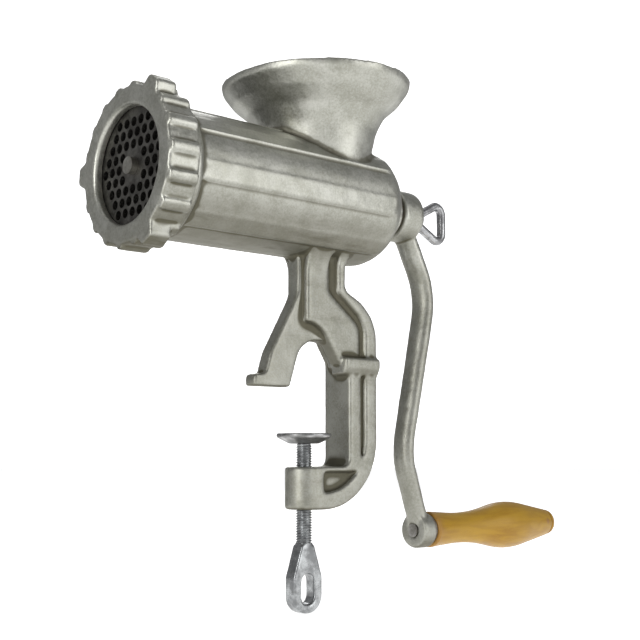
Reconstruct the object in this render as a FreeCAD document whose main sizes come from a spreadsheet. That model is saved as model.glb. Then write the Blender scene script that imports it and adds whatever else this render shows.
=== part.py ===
import FreeCAD, Part
import math
import os
from types import SimpleNamespace

import Sketcher
from FreeCAD import Placement, Rotation, Vector

# Hand crank meat grinder, clamped to a table edge. Millimetres.
# +X runs from the outlet to the crank, +Z is up, and the outlet, hopper and screw clamp lie in the
# plane y = 0. The origin is the centre of the flat underside of the front foot, which stands on the table.

doc = FreeCAD.newDocument("meat_grinder")

# ---------------------------------------------------------------- driving dimensions

DRIVING = (
    # barrel and its screwed mouth
    ("axis_height", 96.5, "height of the auger's axis above the table"),
    ("barrel_radius", 30.2, "outside of the barrel at the root of its steps"),
    ("barrel_step", 1.2, "height of each lengthways step on the barrel"),
    ("barrel_bore", 26.6, "inside radius of the barrel"),
    ("spigot_front", -77.4, "front end of the threaded spigot"),
    ("spigot_back", -63.0, "back end of the threaded spigot"),
    ("spigot_radius", 33.2, "outside of the spigot's thread"),
    ("barrel_back", 71.0, "back of the barrel's rounded end"),
    ("dome_radius", 17.0, "rounding of the barrel's back end"),
    ("chamber_back", 66.0, "back wall of the auger's chamber"),
    ("boss_back", 80.5, "back face of the bearing boss"),
    ("boss_radius", 14.5, "outside of the bearing boss"),
    # hopper
    ("hopper_x", 33.4, "hopper's axis"),
    ("hopper_lean", 2.4, "lean of the hopper towards the outlet, degrees"),
    ("hopper_top", 157.2, "height of the hopper's rim"),
    ("hopper_radius", 49.0, "outside of the hopper's rim"),
    ("throat_radius", 26.6, "outside of the hopper's throat"),
    ("hopper_wall", 3.0, "thickness of the hopper's wall"),
    # leg and clamp frame
    ("foot_length", 22.2, "length of the foot's underside"),
    ("toe_height", 6.3, "height of the toe"),
    ("band_width", 8.4, "width of the arched band"),
    ("leg_front", 15.8, "front face of the leg"),
    ("rib_front", 18.5, "front face of the leg's thick rib"),
    ("rib_width", 16.5, "width of the leg's thick rib"),
    ("rib_back", 32.4, "back face of the leg's thick rib"),
    ("arch_top", 23.9, "top of the arch over the table's edge"),
    ("arch_back", 42.0, "back of the arch"),
    ("column_front", 45.2, "front face of the column"),
    ("column_back", 64.6, "back face of the column"),
    ("frame_width", 20.0, "width of the frame's flanges"),
    ("web_width", 14.0, "width of the frame's web"),
    ("rim_width", 8.2, "depth of the frame's outer flange"),
    ("arm_top", -38.9, "top of the lower arm"),
    ("arm_bottom", -59.8, "underside of the lower arm"),
    ("elbow_radius", 35.0, "outer rounding of the elbow"),
    ("collar_top", 16.0, "top of the collar on the column"),
    ("collar_height", 5.0, "height of the collar's side"),
    ("collar_width", 24.0, "width of the collar"),
    # ring nut and cutting set
    ("ring_front", -82.5, "front face of the ring nut"),
    ("ring_depth", 16.5, "length of the ring nut"),
    ("ring_radius", 36.4, "outside of the ring nut between its lobes"),
    ("ring_bore", 33.3, "inside of the ring nut's thread"),
    ("lip_depth", 4.5, "thickness of the ring nut's lip"),
    ("mouth_radius", 27.0, "opening of the ring nut"),
    ("lobe_height", 1.9, "height of each grip lobe"),
    ("lobe_width", 7.2, "width of each grip lobe"),
    ("lug_length", 10.6, "length of each lug along the axis"),
    ("lug_width", 14.0, "width of each lug"),
    ("lug_top", 42.0, "outer radius of each lug"),
    ("plate_radius", 31.0, "cutting plate"),
    ("plate_depth", 5.0, "thickness of the cutting plate"),
    ("plate_hole", 2.25, "radius of the plate's holes"),
    ("plate_pitch", 6.0, "distance between the plate's holes"),
    ("seat_radius", 31.2, "seat of the plate in the spigot"),
    ("key_radius", 2.0, "plate key pin"),
    ("knife_depth", 8.0, "thickness of the knife"),
    ("knife_reach", 24.5, "radius swept by the knife"),
    ("blade_width", 8.5, "width of a knife blade"),
    ("square_side", 9.6, "square that drives the knife"),
    ("stud_radius", 4.0, "front stud of the auger"),
    ("stud_front", -81.0, "front end of the stud"),
    # auger and its bearing
    ("auger_front", -64.6, "front end of the auger"),
    ("auger_back", 64.6, "back shoulder of the auger"),
    ("core_front", 15.0, "radius of the auger's core at the outlet"),
    ("core_back", 10.0, "radius of the auger's core under the hopper"),
    ("flight_radius", 25.8, "outer radius of the flight"),
    ("flight_depth", 5.0, "thickness of the flight"),
    ("flight_pitch", 29.0, "pitch of the flight"),
    ("journal_radius", 8.0, "auger's rear journal"),
    ("bush_radius", 10.5, "outside of the bearing bush"),
    ("drive_square", 11.0, "square that carries the crank"),
    ("drive_back", 98.0, "back end of the drive square"),
    ("running_gap", 0.05, "radial clearance of a running fit"),
    # crank, grip and thumb screw
    ("hub_front", 83.0, "front face of the crank's hub"),
    ("hub_back", 99.2, "back face of the crank's hub"),
    ("hub_radius", 14.0, "crank's hub"),
    ("crank_throw", 170.0, "distance from the auger's axis to the grip's axis"),
    ("arm_depth", 10.0, "crank arm's section along the axis"),
    ("arm_width", 13.4, "crank arm's section across the axis"),
    ("eye_front", 100.0, "front face of the crank's lower eye"),
    ("eye_back", 109.6, "back face of the crank's lower eye"),
    ("eye_radius", 9.4, "crank's lower eye"),
    ("grip_front", 110.9, "front end of the wooden grip"),
    ("grip_back", 215.5, "tip of the wooden grip"),
    ("grip_end", 9.7, "radius of the grip at the crank"),
    ("rod_radius", 3.5, "grip's rod"),
    ("screw_radius", 4.0, "clamp screw and thumb screw"),
    ("thumb_bar", 2.5, "radius of the thumb screw's loop section"),
    ("thumb_height", 24.8, "height of the thumb screw's loop"),
    ("thumb_back", 127.4, "back of the thumb screw's loop"),
    # table clamp
    ("clamp_x", 23.2, "clamp screw's axis"),
    ("clamp_boss", 9.5, "boss on the lower arm"),
    ("disc_top", -22.4, "top of the clamp disc"),
    ("disc_radius", 13.7, "clamp disc"),
    ("screw_eye_top", -77.0, "top of the clamp screw's forged eye"),
    ("screw_eye_bottom", -109.8, "bottom of the clamp screw's forged eye"),
    ("screw_eye_width", 18.0, "width of the forged eye"),
    ("screw_eye_depth", 7.4, "thickness of the forged eye"),
)


class Size:
    """A length taken from the sheet: its value, and the expression that binds a property to it."""

    def __init__(self, value, text):
        self.value = value
        self.text = text

    def __add__(self, other):
        return Size(self.value + value_of(other), f"({self.text} + {text_of(other)})")

    def __sub__(self, other):
        return Size(self.value - value_of(other), f"({self.text} - {text_of(other)})")

    def __mul__(self, other):
        return Size(self.value * value_of(other), f"({self.text} * {text_of(other)})")

    def __truediv__(self, other):
        return Size(self.value / value_of(other), f"({self.text} / {text_of(other)})")

    def __neg__(self):
        return Size(-self.value, f"(0 - {self.text})")


def value_of(size):
    return size.value if isinstance(size, Size) else float(size)


def text_of(size):
    return size.text if isinstance(size, Size) else f"{float(size):.6g}"


sheet = doc.addObject("Spreadsheet::Sheet", "Dims")
for row, (alias, value, meaning) in enumerate(DRIVING, start=1):
    sheet.set(f"A{row}", meaning)
    sheet.set(f"B{row}", str(value))
    sheet.setAlias(f"B{row}", alias)
doc.recompute()
D = SimpleNamespace(**{alias: Size(sheet.get(alias), f"Dims.{alias}") for alias, _, _ in DRIVING})

AXIS_UP = D.axis_height
GRIP_UP = D.axis_height - D.crank_throw
LOBE_LEAD = 5.5
LUG_TURN = 32.5


# ---------------------------------------------------------------- modelling helpers

def bind(item, **sizes):
    """Set properties of an object from the sheet."""
    for name, size in sizes.items():
        item.setExpression(name, text_of(size))


def place(item, x=0, y=0, z=0, rotation=None):
    """Place an object, with its position bound to the sheet."""
    item.Placement = Placement(Vector(value_of(x), value_of(y), value_of(z)), rotation or Rotation())
    for axis, size in (("x", x), ("y", y), ("z", z)):
        if isinstance(size, Size):
            item.setExpression(f"Placement.Base.{axis}", size.text)


def new_body(name):
    return doc.addObject("PartDesign::Body", name)


def origin_feature(body, role):
    return next(item for item in body.Origin.OriginFeatures if item.Role == role)


def new_sketch(body, name, role="XZ_Plane", offset=0):
    sketch = body.newObject("Sketcher::SketchObject", name)
    sketch.AttachmentSupport = [(origin_feature(body, role), "")]
    sketch.MapMode = "FlatFace"
    sketch.AttachmentOffset = Placement(Vector(0, 0, value_of(offset)), Rotation())
    if isinstance(offset, Size):
        sketch.setExpression("AttachmentOffset.Base.z", offset.text)
    return sketch


def constrain(sketch, kind, size, *where):
    index = sketch.addConstraint(Sketcher.Constraint(kind, *where, value_of(size)))
    sketch.setExpression(f"Constraints[{index}]", text_of(size))


def pin_point(sketch, geometry, position, x, y):
    constrain(sketch, "DistanceX", x, -1, 1, geometry, position)
    constrain(sketch, "DistanceY", y, -1, 1, geometry, position)


def circle(sketch, x, y, radius):
    centre = Vector(value_of(x), value_of(y), 0)
    index = sketch.addGeometry(Part.Circle(centre, Vector(0, 0, 1), value_of(radius)))
    pin_point(sketch, index, 3, x, y)
    constrain(sketch, "Radius", radius, index)


def corner_arc(corner, before, after, radius):
    """Tangent points and middle of the arc that rounds a corner between two neighbours."""
    to_before = (before - corner).normalize()
    to_after = (after - corner).normalize()
    half = to_before.getAngle(to_after) / 2
    reach = radius / math.tan(half)
    bisector = (to_before + to_after).normalize()
    middle = corner + bisector * (radius / math.sin(half) - radius)
    return corner + to_before * reach, middle, corner + to_after * reach


def round_corner(sketch, before, after, corner, bend):
    """Arc tangent to two lines of a sketch, with its sharp corner (x, y, radius) bound to the sheet."""
    entry, middle, leave = bend
    centre = Part.Arc(entry, middle, leave).toShape().Curve.Center
    left_turn = (middle - entry).cross(leave - middle).z > 0
    first, last = (entry - centre, leave - centre) if left_turn else (leave - centre, entry - centre)
    start = math.atan2(first.y, first.x)
    sweep = (math.atan2(last.y, last.x) - start) % (2 * math.pi)
    whole = Part.Circle(centre, Vector(0, 0, 1), value_of(corner[2]))
    arc = sketch.addGeometry(Part.ArcOfCircle(whole, start, start + sweep))
    near, far = (1, 2) if left_turn else (2, 1)
    sketch.addConstraint(Sketcher.Constraint("Tangent", before, 2, arc, near))
    sketch.addConstraint(Sketcher.Constraint("Tangent", arc, far, after, 1))
    constrain(sketch, "Radius", corner[2], arc)
    sharp = Vector(value_of(corner[0]), value_of(corner[1]), 0)
    point = sketch.addGeometry(Part.Point(sharp), True)
    sketch.addConstraint(Sketcher.Constraint("PointOnObject", point, 1, before))
    sketch.addConstraint(Sketcher.Constraint("PointOnObject", point, 1, after))
    pin_point(sketch, point, 1, corner[0], corner[1])


def outline(sketch, corners):
    """Closed outline through corners (x, y) or (x, y, rounding radius), all bound to the sheet."""
    count = len(corners)
    points = [Vector(value_of(corner[0]), value_of(corner[1]), 0) for corner in corners]
    bends = []
    for index, corner in enumerate(corners):
        around = (points[index - 1], points[(index + 1) % count])
        rounded = len(corner) > 2
        bends.append(corner_arc(points[index], *around, value_of(corner[2])) if rounded else None)
    lines = []
    for index in range(count):
        following = (index + 1) % count
        start = bends[index][2] if bends[index] else points[index]
        end = bends[following][0] if bends[following] else points[following]
        lines.append(sketch.addGeometry(Part.LineSegment(start, end)))
    for index, corner in enumerate(corners):
        before, after = lines[index - 1], lines[index]
        if bends[index]:
            round_corner(sketch, before, after, corner, bends[index])
        else:
            sketch.addConstraint(Sketcher.Constraint("Coincident", before, 2, after, 1))
            pin_point(sketch, after, 1, corner[0], corner[1])


def pad(body, sketch, length, symmetric=False, reverse=False):
    feature = body.newObject("PartDesign::Pad", sketch.Name + "_pad")
    feature.Profile = sketch
    feature.SideType = "Symmetric" if symmetric else "One side"
    feature.Reversed = reverse
    bind(feature, Length=length)
    return feature


def pocket_through(body, sketch):
    """Cut a sketch right through the body, both ways."""
    doc.recompute()
    before = body.Shape.Volume
    feature = body.newObject("PartDesign::Pocket", sketch.Name + "_pocket")
    feature.Profile = sketch
    feature.Type = "ThroughAll"
    feature.SideType = "Symmetric"
    doc.recompute()
    if not body.Shape.Volume < before:
        raise RuntimeError(f"{sketch.Name} cuts nothing")
    return feature


def revolve(body, name, corners, axis="H_Axis"):
    """Full turn of an outline in the XZ plane about the sketch's horizontal or vertical axis."""
    sketch = new_sketch(body, name)
    outline(sketch, corners)
    feature = body.newObject("PartDesign::Revolution", name + "_turn")
    feature.Profile = sketch
    feature.ReferenceAxis = (sketch, [axis])
    feature.Angle = 360
    return feature


def turn_pattern(body, feature, count):
    """Repeat a feature about the body's X axis."""
    pattern = body.newObject("PartDesign::PolarPattern", feature.Name + "_pattern")
    pattern.Originals = [feature]
    pattern.Axis = (origin_feature(body, "X_Axis"), [""])
    pattern.Angle = 360
    pattern.Occurrences = count
    body.Tip = pattern
    return pattern


def cylinder(name, radius, length, x=0, y=0, z=0, along="Z"):
    """Cylinder from (x, y, z), along +X, +Y or +Z."""
    turns = {"X": Rotation(Vector(0, 1, 0), 90), "Y": Rotation(Vector(1, 0, 0), -90), "Z": Rotation()}
    item = doc.addObject("Part::Cylinder", name)
    bind(item, Radius=radius, Height=length)
    place(item, x, y, z, turns[along])
    return item


def centred_box(name, length, width, height, x=0, z=0):
    """Box from x along +X, centred on y = 0 and on height z."""
    item = doc.addObject("Part::Box", name)
    bind(item, Length=length, Width=width, Height=height)
    place(item, x, width / -2, z - height / 2)
    return item


def fuse(name, *shapes):
    item = doc.addObject("Part::MultiFuse", name)
    item.Shapes = list(shapes)
    return item


def cut(name, base, *tools):
    item = doc.addObject("Part::Cut", name)
    item.Base = base
    item.Tool = fuse(name + "_tools", *tools) if len(tools) > 1 else tools[0]
    return item


def common(name, *shapes):
    item = doc.addObject("Part::MultiCommon", name)
    item.Shapes = list(shapes)
    return item


# ---------------------------------------------------------------- the body casting

def barrel_tube():
    """Spigot, barrel, rounded back end and bearing boss, turned about the auger's axis."""
    body = new_body("barrel_tube")
    revolve(body, "barrel_profile", [
        (D.spigot_front, 0),
        (D.spigot_front, D.spigot_radius, 0.8),
        (D.spigot_back, D.spigot_radius),
        (D.spigot_back + 3, D.barrel_radius),
        (D.barrel_back, D.barrel_radius, D.dome_radius),
        (D.barrel_back + 2, D.boss_radius),
        (D.boss_back, D.boss_radius, 0.8),
        (D.boss_back, 0),
    ])
    place(body, z=AXIS_UP)
    return body


def barrel_steps():
    """Eight lengthways saw-tooth steps, which follow the flutes inside, cut to the barrel's rounding."""
    steps = 8
    first = -16.0
    pitch = 360.0 / steps
    teeth = new_body("barrel_teeth")
    sketch = new_sketch(teeth, "tooth_outline", "YZ_Plane", D.spigot_back + 3)
    root = D.barrel_radius - 2
    crest = D.barrel_radius + D.barrel_step
    low = math.radians(180 - first)
    high = math.radians(180 - first - pitch)
    outline(sketch, [
        (root * math.cos(low), root * math.sin(low)),
        (crest * math.cos(low), crest * math.sin(low)),
        (D.barrel_radius * 1.012 * math.cos((low + high) / 2 + 0.1),
         D.barrel_radius * 1.012 * math.sin((low + high) / 2 + 0.1)),
        (D.barrel_radius * math.cos(high), D.barrel_radius * math.sin(high)),
        (root * math.cos(high), root * math.sin(high)),
    ])
    tooth = pad(teeth, sketch, D.barrel_back - D.spigot_back - 3)
    turn_pattern(teeth, tooth, steps)
    place(teeth, z=AXIS_UP)
    envelope = new_body("barrel_envelope")
    crest_radius = D.barrel_radius + D.barrel_step + 0.3
    revolve(envelope, "envelope_profile", [
        (D.spigot_back, 0),
        (D.spigot_back, crest_radius),
        (D.barrel_back + 0.4, crest_radius, D.dome_radius + 1),
        (D.barrel_back + 0.4, 0),
    ])
    place(envelope, z=AXIS_UP)
    return common("barrel_panels", teeth, envelope)


def hopper_profile(wall):
    """Half outline of the trumpet-shaped hopper, drawn about its own vertical axis."""
    top = D.hopper_top - D.axis_height
    rim = D.hopper_radius - wall
    throat = D.throat_radius - wall
    rise = 3 if wall else 0
    floor = 2 if wall else 12
    return [
        (0, top + rise),
        (rim, top + rise),
        (rim - 0.6, top - 3.6, 3),
        (rim - 5.6, top - 10.4, 7),
        (rim - 13.4, top - 16.8, 11),
        (throat + 3.9, top - 25.5, 22),
        (throat, top - 41, 20),
        (throat, floor),
        (0, floor),
    ]


def hopper(name, wall):
    body = new_body(name)
    revolve(body, name + "_profile", hopper_profile(wall), "V_Axis")
    place(body, D.hopper_x, 0, AXIS_UP, Rotation(Vector(0, 1, 0), -D.hopper_lean.value))
    return body


def leg_band():
    """Front strip of the leg, the toe and the arch that steps over the table's edge."""
    body = new_body("leg_band")
    sketch = new_sketch(body, "band_outline")
    half_foot = D.foot_length / 2
    top = AXIS_UP - D.barrel_radius + 4
    outline(sketch, [
        (D.leg_front, top),
        (D.leg_front, 46.5, 16),
        (-1.2, 16.5, 14),
        (-4.2, D.toe_height, 1.5),
        (-half_foot, D.toe_height - 0.4, 2.6),
        (-half_foot, 0),
        (half_foot, 0),
        (18.6, D.arch_top, 13),
        (D.arch_back, D.arch_top, 11.5),
        (D.arch_back, D.collar_top - D.collar_height),
        (D.column_front + 5, D.collar_top - D.collar_height),
        (D.column_front + 5, 33),
        (D.rib_back, 50),
        (D.rib_back, top),
    ])
    pad(body, sketch, D.band_width, symmetric=True)
    return body


def leg_rib(name, side):
    """Half of the leg's thick rib.

    The half at -y ends in a ledge above the arch, and the other half stays clear of it.
    """
    body = new_body(name)
    sketch = new_sketch(body, name + "_outline")
    top = AXIS_UP - D.barrel_radius + 4
    ledge = D.arch_top + 8.8
    arch_side = [
        (D.rib_front + 9, ledge, 15.5),
        (D.arch_back - 2.2, D.collar_top - 3),
    ] if side < 0 else [
        (D.rib_front + 13, ledge, 8),
        (D.column_front - 1, D.collar_top - 3),
    ]
    outline(sketch, [
        (D.rib_front, top),
        (D.rib_front, ledge),
        *arch_side,
        (D.column_front + 8.2, D.collar_top - 3),
        (D.column_front + 8.2, 32, 8),
        (D.rib_back, 48.6, 5),
        (D.rib_back, top),
    ])
    pad(body, sketch, D.rib_width / 2, reverse=side > 0)
    return body


def frame_back():
    """Outer side of the clamp frame: lower arm, elbow, column and back of the leg."""
    return [
        (D.clamp_x, D.arm_top),
        (D.clamp_x, D.arm_bottom),
        (D.column_back, D.arm_bottom, D.elbow_radius),
        (D.column_back, 39.8, 24),
        (42.4, 50.4, 6),
        (42.4, 61, 8),
        (46, AXIS_UP - D.barrel_radius + 4),
    ]


def web_outline():
    """Whole side view of the clamp frame, which the thin web fills."""
    inside = D.column_front + 6.7
    front = D.rib_back - 1.5
    return [
        (front, AXIS_UP - D.barrel_radius + 4),
        (front, 47.9, 4),
        (inside, 31.2, 6),
        (inside, D.collar_top - 4),
        (D.column_front, D.collar_top - 4),
        (D.column_front, D.arm_top, 4),
        *frame_back(),
    ]


def flange_outline():
    """Raised border of the frame: back flange, rim of the elbow and arm, and front flange of the column."""
    inner = D.column_front + 8.3
    outer = D.column_back - D.rim_width
    floor_top = D.arm_top - 2.6
    floor_bottom = D.arm_bottom + D.rim_width
    end = D.clamp_x + 5
    back_flange = 38.2
    return [
        (back_flange, AXIS_UP - D.barrel_radius + 4),
        (back_flange, 48.6, 3),
        (outer, 34.6, 16),
        (outer, floor_bottom, D.elbow_radius - D.rim_width),
        (end, floor_bottom),
        (end, floor_top),
        (inner - 6, floor_top, 3),
        (inner, floor_top + 1.5, 6),
        (inner, D.collar_top),
        (D.column_front, D.collar_top),
        (D.column_front, D.arm_top, 4),
        *frame_back(),
    ]


def clamp_frame():
    body = new_body("clamp_frame")
    web = new_sketch(body, "web")
    outline(web, web_outline())
    pad(body, web, D.web_width, symmetric=True)
    flanges = new_sketch(body, "flanges")
    outline(flanges, flange_outline())
    pad(body, flanges, D.frame_width, symmetric=True)
    return body


def cross_pad(name, start, length, corners):
    """Outline in the YZ plane, padded along +X from start."""
    body = new_body(name)
    sketch = new_sketch(body, name + "_outline", "YZ_Plane", start)
    outline(sketch, corners)
    pad(body, sketch, length)
    return body


def saddle(name, start, length, half_width, spread, fillet):
    """Filleted top of the leg, where it spreads onto the round underside of the barrel."""
    low = AXIS_UP - D.barrel_radius - 12
    bend = AXIS_UP - D.barrel_radius - 1.6
    high = AXIS_UP - D.barrel_radius + 8
    return cross_pad(name, start, length, [
        (-half_width, low),
        (half_width, low),
        (half_width, bend, fillet),
        (half_width + spread, high),
        (0, high + 6),
        (-half_width - spread, high),
        (-half_width, bend, fillet),
    ])


def column_collar(name, start, side):
    """Ledge on one side of the column (side is -1 or 1), sloped underneath."""
    low = D.collar_top - D.collar_height
    return cross_pad(name, start, D.column_back + 0.6 - start, [
        (0, low - 3.8),
        (D.frame_width / 2 * side, low - 3.8),
        (D.collar_width / 2 * side, low),
        (D.collar_width / 2 * side, D.collar_top, 0.8),
        (0, D.collar_top),
    ])


def chamber():
    """Plate seat, auger chamber and bearing bore, in one turned tool."""
    body = new_body("chamber")
    bush_bore = D.bush_radius + 0.01
    revolve(body, "chamber_profile", [
        (D.spigot_front - 1, 0),
        (D.spigot_front - 1, D.seat_radius),
        (D.ring_front + D.lip_depth + D.plate_depth + 0.2, D.seat_radius),
        (D.ring_front + D.lip_depth + D.plate_depth + 0.2, D.barrel_bore),
        (D.chamber_back, D.barrel_bore, 6),
        (D.chamber_back, bush_bore),
        (D.boss_back + 1, bush_bore),
        (D.boss_back + 1, 0),
    ])
    place(body, z=AXIS_UP)
    return body


def key_pin_cylinder(name, radius):
    """Small pin that stands into the plate's seat from the top of the spigot."""
    x = D.ring_front + D.lip_depth + D.plate_depth / 2 + 0.6
    length = D.spigot_radius - D.plate_radius + 2.2
    return cylinder(name, radius, length, x=x, z=AXIS_UP + D.spigot_radius - 0.2 - length)


def body_casting():
    solid = fuse(
        "casting_solid",
        barrel_tube(),
        barrel_steps(),
        hopper("hopper_outside", 0),
        leg_band(),
        leg_rib("near_rib", -1),
        leg_rib("far_rib", 1),
        clamp_frame(),
        saddle("rib_saddle", D.rib_front, D.rib_back - D.rib_front, D.rib_width / 2, 10.7, 18),
        saddle("frame_saddle", 38.2, 4.6, D.frame_width / 2, 6, 9),
        column_collar("near_collar", D.arch_back - 1, -1),
        column_collar("far_collar", D.column_front + 5, 1),
        cylinder("clamp_boss", D.clamp_boss, D.arm_top - D.arm_bottom, D.clamp_x, 0, D.arm_bottom),
    )
    return cut(
        "body_casting",
        solid,
        chamber(),
        hopper("hopper_inside", D.hopper_wall),
        cylinder("clamp_bore", D.screw_radius + D.running_gap, 30, D.clamp_x, 0, D.arm_bottom - 4),
        key_pin_cylinder("key_bore", D.key_radius + 0.01),
    )


# ---------------------------------------------------------------- ring nut and cutting set

def turned(across, up, angle):
    """A point of the YZ plane turned clockwise about the axis."""
    lean = math.radians(angle)
    return across * math.cos(lean) + up * math.sin(lean), up * math.cos(lean) - across * math.sin(lean)


def ring_nut():
    body = new_body("ring_nut")
    back = D.ring_front + D.ring_depth
    revolve(body, "ring_profile", [
        (D.ring_front, D.mouth_radius + 1.2),
        (D.ring_front, D.ring_radius, 1),
        (back, D.ring_radius, 1),
        (back, D.ring_bore),
        (D.ring_front + D.lip_depth, D.ring_bore),
        (D.ring_front + D.lip_depth, D.mouth_radius),
        (D.ring_front + 1.2, D.mouth_radius),
    ])
    lobe_sketch = new_sketch(body, "lobe", "YZ_Plane", D.ring_front + 0.6)
    foot = D.ring_bore + 0.8
    crest = D.ring_radius + D.lobe_height
    outline(lobe_sketch, [
        turned(D.lobe_width / -2, foot, LOBE_LEAD),
        turned(D.lobe_width / 2, foot, LOBE_LEAD),
        (*turned(D.lobe_width / 3, crest, LOBE_LEAD), 1.8),
        (*turned(D.lobe_width / -3, crest, LOBE_LEAD), 1.8),
    ])
    turn_pattern(body, pad(body, lobe_sketch, D.ring_depth - 1.4), 18)
    lug_sketch = new_sketch(body, "lug", "YZ_Plane", D.ring_front)
    half = D.lug_width / 2
    outline(lug_sketch, [
        (-half, D.ring_bore + 1),
        (half, D.ring_bore + 1),
        (half - 3, D.lug_top, 2),
        (-half + 3, D.lug_top, 2),
    ])
    turn_pattern(body, pad(body, lug_sketch, D.lug_length), 3)
    place(body, z=AXIS_UP, rotation=Rotation(Vector(1, 0, 0), LUG_TURN))
    return body


def cutting_plate():
    body = new_body("cutting_plate")
    front = D.ring_front + D.lip_depth + 0.05
    disc = new_sketch(body, "plate_disc", "YZ_Plane", front)
    circle(disc, 0, 0, D.plate_radius)
    circle(disc, 0, 0, D.stud_radius + D.running_gap)
    pad(body, disc, D.plate_depth)
    holes = new_sketch(body, "plate_holes", "YZ_Plane", front)
    row_step = D.plate_pitch * (math.sqrt(3) / 2)
    solid_centre = 7.0
    for row in range(-4, 5):
        for column in range(-5, 6):
            across = D.plate_pitch * (column + (row % 2) / 2)
            up = row_step * row
            reach = math.hypot(across.value, up.value)
            if solid_centre < reach < D.mouth_radius.value - 1:
                circle(holes, across, up, D.plate_hole)
    pocket_through(body, holes)
    notch = new_sketch(body, "plate_notch", "YZ_Plane", front)
    half = D.key_radius + 0.3
    outline(notch, [
        (-half, D.plate_radius - 2.6),
        (half, D.plate_radius - 2.6),
        (half, D.plate_radius + 2),
        (-half, D.plate_radius + 2),
    ])
    pocket_through(body, notch)
    place(body, z=AXIS_UP)
    return body


def knife():
    """Four-bladed cross with a square hole, sharp against the plate."""
    body = new_body("knife")
    front = D.ring_front + D.lip_depth + D.plate_depth + 0.1
    sketch = new_sketch(body, "knife_hub", "YZ_Plane", front)
    circle(sketch, 0, 0, D.blade_width)
    pad(body, sketch, D.knife_depth)
    blade_sketch = new_sketch(body, "blade", "YZ_Plane", front)
    outline(blade_sketch, [
        (D.blade_width * -0.45, 0),
        (D.blade_width * 0.35, 0),
        (D.blade_width * 0.5, D.knife_reach - 1.2, 1.5),
        (D.blade_width * -0.1, D.knife_reach - 0.6),
    ])
    turn_pattern(body, pad(body, blade_sketch, D.knife_depth - 1.5), 4)
    hole = new_sketch(body, "knife_square", "YZ_Plane", front)
    half = D.square_side / 2 + 0.05
    outline(hole, [(-half, -half), (half, -half), (half, half), (-half, half)])
    pocket_through(body, hole)
    place(body, z=AXIS_UP)
    return body


# ---------------------------------------------------------------- auger and bearing

def auger_flight():
    """Left-handed flight, so that clockwise turns of the crank feed towards the outlet."""
    helix = doc.addObject("Part::Helix", "flight_helix")
    helix.LocalCoord = "Left-handed"
    bind(helix, Pitch=D.flight_pitch, Height=D.flight_pitch * 4, Radius=D.flight_radius)
    section = doc.addObject("Sketcher::SketchObject", "flight_section")
    section.Placement = Placement(Vector(0, 0, 0), Rotation(Vector(1, 0, 0), 90))
    outline(section, [
        (D.core_back - 3, 0),
        (D.flight_radius, D.flight_depth * 0.25),
        (D.flight_radius, D.flight_depth * 0.75),
        (D.core_back - 3, D.flight_depth),
    ])
    sweep = doc.addObject("Part::Sweep", "flight")
    sweep.Sections = [section]
    sweep.Spine = (helix, ["Edge1"])
    sweep.Solid = True
    sweep.Frenet = True
    place(sweep, D.auger_front + 1, 0, AXIS_UP, Rotation(Vector(0, 1, 0), 90))
    return sweep


def auger_core():
    body = new_body("auger_core")
    revolve(body, "core_profile", [
        (D.auger_front, 0),
        (D.auger_front, D.core_front, 1),
        (D.auger_back - 8, D.core_back),
        (D.auger_back - 6, D.core_back + 4),
        (D.auger_back, D.core_back + 4, 1),
        (D.auger_back, D.journal_radius),
        (D.boss_back + 0.6, D.journal_radius),
        (D.boss_back + 0.6, 0),
    ])
    place(body, z=AXIS_UP)
    return body


def auger():
    drive_length = D.drive_back - D.boss_back
    side = D.drive_square
    drive = centred_box("drive_square_bar", drive_length, side, side, D.boss_back, AXIS_UP)
    journal = cylinder("drive_round", D.journal_radius - 1, drive_length, D.boss_back, 0, AXIS_UP, "X")
    solid = fuse("auger_solid", auger_core(), auger_flight(), common("drive_end", drive, journal))
    return cut(
        "auger",
        solid,
        cylinder("stud_bore", D.stud_radius + 1.01, 22, D.auger_front - 1, 0, AXIS_UP, "X"),
        cylinder("thumb_bore", D.screw_radius + D.running_gap, 24, D.drive_back - 22, 0, AXIS_UP, "X"),
    )


def auger_stud():
    """Steel stud pressed into the auger: its square drives the knife, its end runs in the plate."""
    square_length = D.knife_depth + 0.1
    square_front = D.auger_front - square_length
    return fuse(
        "auger_stud",
        cylinder("stud_shank", D.stud_radius + 1, 20, D.auger_front, 0, AXIS_UP, "X"),
        centred_box("stud_square", square_length, D.square_side, D.square_side, square_front, AXIS_UP),
        cylinder("stud_end", D.stud_radius, square_front - D.stud_front, D.stud_front, 0, AXIS_UP, "X"),
    )


def tube(name, outer, inner, x, length):
    """Plain sleeve on the auger's axis."""
    return cut(
        name,
        cylinder(name + "_outside", outer, length, x, 0, AXIS_UP, "X"),
        cylinder(name + "_inside", inner, length + 2, x - 1, 0, AXIS_UP, "X"),
    )


# ---------------------------------------------------------------- crank, thumb screw and grip

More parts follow.
